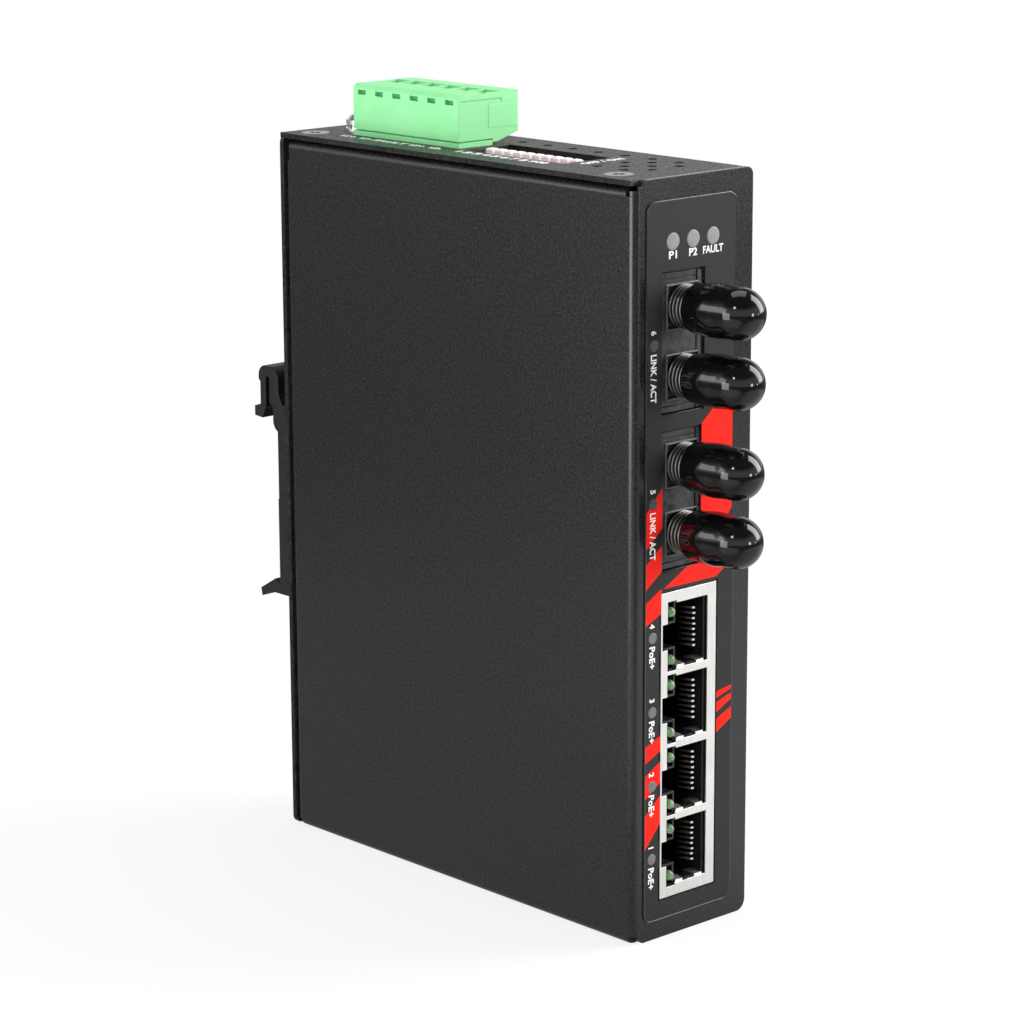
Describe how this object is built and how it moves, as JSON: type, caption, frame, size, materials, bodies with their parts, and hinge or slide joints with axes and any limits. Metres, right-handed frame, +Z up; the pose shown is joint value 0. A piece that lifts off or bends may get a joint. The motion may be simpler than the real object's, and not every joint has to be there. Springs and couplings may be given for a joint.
{
  "type": "rail-mounted network switch",
  "caption": "Slim upright network switch in a folded black housing with a rail clip, fibre and copper ports, a plug-in terminal block and setting switches.",
  "frame": {"origin": "middle of the housing's bottom face", "axes": "+Z up, -Y towards the ports on the front, +X to the right seen from the front"},
  "size_m": [0.03, 0.1289, 0.152],
  "materials": {
    "powder_coat": "fine-grained black powder coat",
    "print_film": "satin printed film",
    "black_steel": "blackened",
    "zinc_steel": "bright zinc",
    "tin_plate": "bright tinned sheet",
    "gold_plate": "plated spring wire",
    "tinned_brass": "tinned",
    "black_moulding": "moulded",
    "module_moulding": "moulded, worn satin",
    "green_lens": "tinted clear",
    "clear_lens": "frosted clear",
    "cap_vinyl": "glossy soft vinyl",
    "green_moulding": "moulded",
    "red_moulding": "moulded",
    "white_moulding": "moulded",
    "clip_moulding": "moulded",
    "board_laminate": "solder resist",
    "chip_epoxy": "moulded",
    "ferrite": "sintered",
    "bare_aluminium": "plain",
    "pad_silicone": "soft",
    "relay_case": "moulded"
  },
  "bodies": {
    "switch": {"front_shell": "powder_coat", "rear_shell": "powder_coat", "shell_screws": "black_steel", "front_overlay": "print_film", "main_board": "board_laminate", "board_standoffs": "zinc_steel", "board_screws": "zinc_steel", "jack_shield": "tin_plate", "jack_body": "black_moulding", "jack_contacts": "gold_plate", "jack_lights": "green_lens", "fibre_module_upper": "module_moulding", "fibre_module_lower": "module_moulding", "module_pins": "tinned_brass", "terminal_header": "green_moulding", "header_pins": "tinned_brass", "terminal_plug": "green_moulding", "plug_contacts": "tinned_brass", "clamp_cages": "zinc_steel", "clamp_screws": "zinc_steel", "dip_body": "red_moulding", "dip_pins": "tinned_brass", "ground_washer": "zinc_steel", "lock_washer": "zinc_steel", "ground_screw": "zinc_steel", "status_light_holder": "black_moulding", "status_lights": "clear_lens", "port_lights": "clear_lens", "din_clip": "clip_moulding", "din_clip_screws": "zinc_steel", "switch_chip": "chip_epoxy", "thermal_pad": "pad_silicone", "heat_sink": "bare_aluminium", "clock_crystal": "zinc_steel", "line_transformers": "chip_epoxy", "poe_controller": "chip_epoxy", "storage_capacitors": "bare_aluminium", "power_inductors": "ferrite", "fault_relay": "relay_case", "input_fuses": "white_moulding", "fibre_sleeve_1": "module_moulding", "dust_cap_1": "cap_vinyl", "fibre_sleeve_2": "module_moulding", "dust_cap_2": "cap_vinyl", "fibre_sleeve_3": "module_moulding", "dust_cap_3": "cap_vinyl", "fibre_sleeve_4": "module_moulding", "dust_cap_4": "cap_vinyl"},
    "slider_1": {"dip_slider_1": "white_moulding"},
    "slider_2": {"dip_slider_2": "white_moulding"},
    "slider_3": {"dip_slider_3": "white_moulding"},
    "slider_4": {"dip_slider_4": "white_moulding"},
    "slider_5": {"dip_slider_5": "white_moulding"},
    "slider_6": {"dip_slider_6": "white_moulding"},
    "slider_7": {"dip_slider_7": "white_moulding"},
    "slider_8": {"dip_slider_8": "white_moulding"},
    "slider_9": {"dip_slider_9": "white_moulding"},
    "slider_10": {"dip_slider_10": "white_moulding"}
  },
  "joints": [
    {"name": "setting_1", "type": "slide", "parent": "switch", "child": "slider_1", "axis": [1, 0, 0], "range_m": [0, 0.002]},
    {"name": "setting_2", "type": "slide", "parent": "switch", "child": "slider_2", "axis": [1, 0, 0], "range_m": [0, 0.002]},
    {"name": "setting_3", "type": "slide", "parent": "switch", "child": "slider_3", "axis": [1, 0, 0], "range_m": [0, 0.002]},
    {"name": "setting_4", "type": "slide", "parent": "switch", "child": "slider_4", "axis": [1, 0, 0], "range_m": [0, 0.002]},
    {"name": "setting_5", "type": "slide", "parent": "switch", "child": "slider_5", "axis": [1, 0, 0], "range_m": [0, 0.002]},
    {"name": "setting_6", "type": "slide", "parent": "switch", "child": "slider_6", "axis": [1, 0, 0], "range_m": [0, 0.002]},
    {"name": "setting_7", "type": "slide", "parent": "switch", "child": "slider_7", "axis": [1, 0, 0], "range_m": [0, 0.002]},
    {"name": "setting_8", "type": "slide", "parent": "switch", "child": "slider_8", "axis": [1, 0, 0], "range_m": [0, 0.002]},
    {"name": "setting_9", "type": "slide", "parent": "switch", "child": "slider_9", "axis": [1, 0, 0], "range_m": [0, 0.002]},
    {"name": "setting_10", "type": "slide", "parent": "switch", "child": "slider_10", "axis": [1, 0, 0], "range_m": [0, 0.002]}
  ]
}
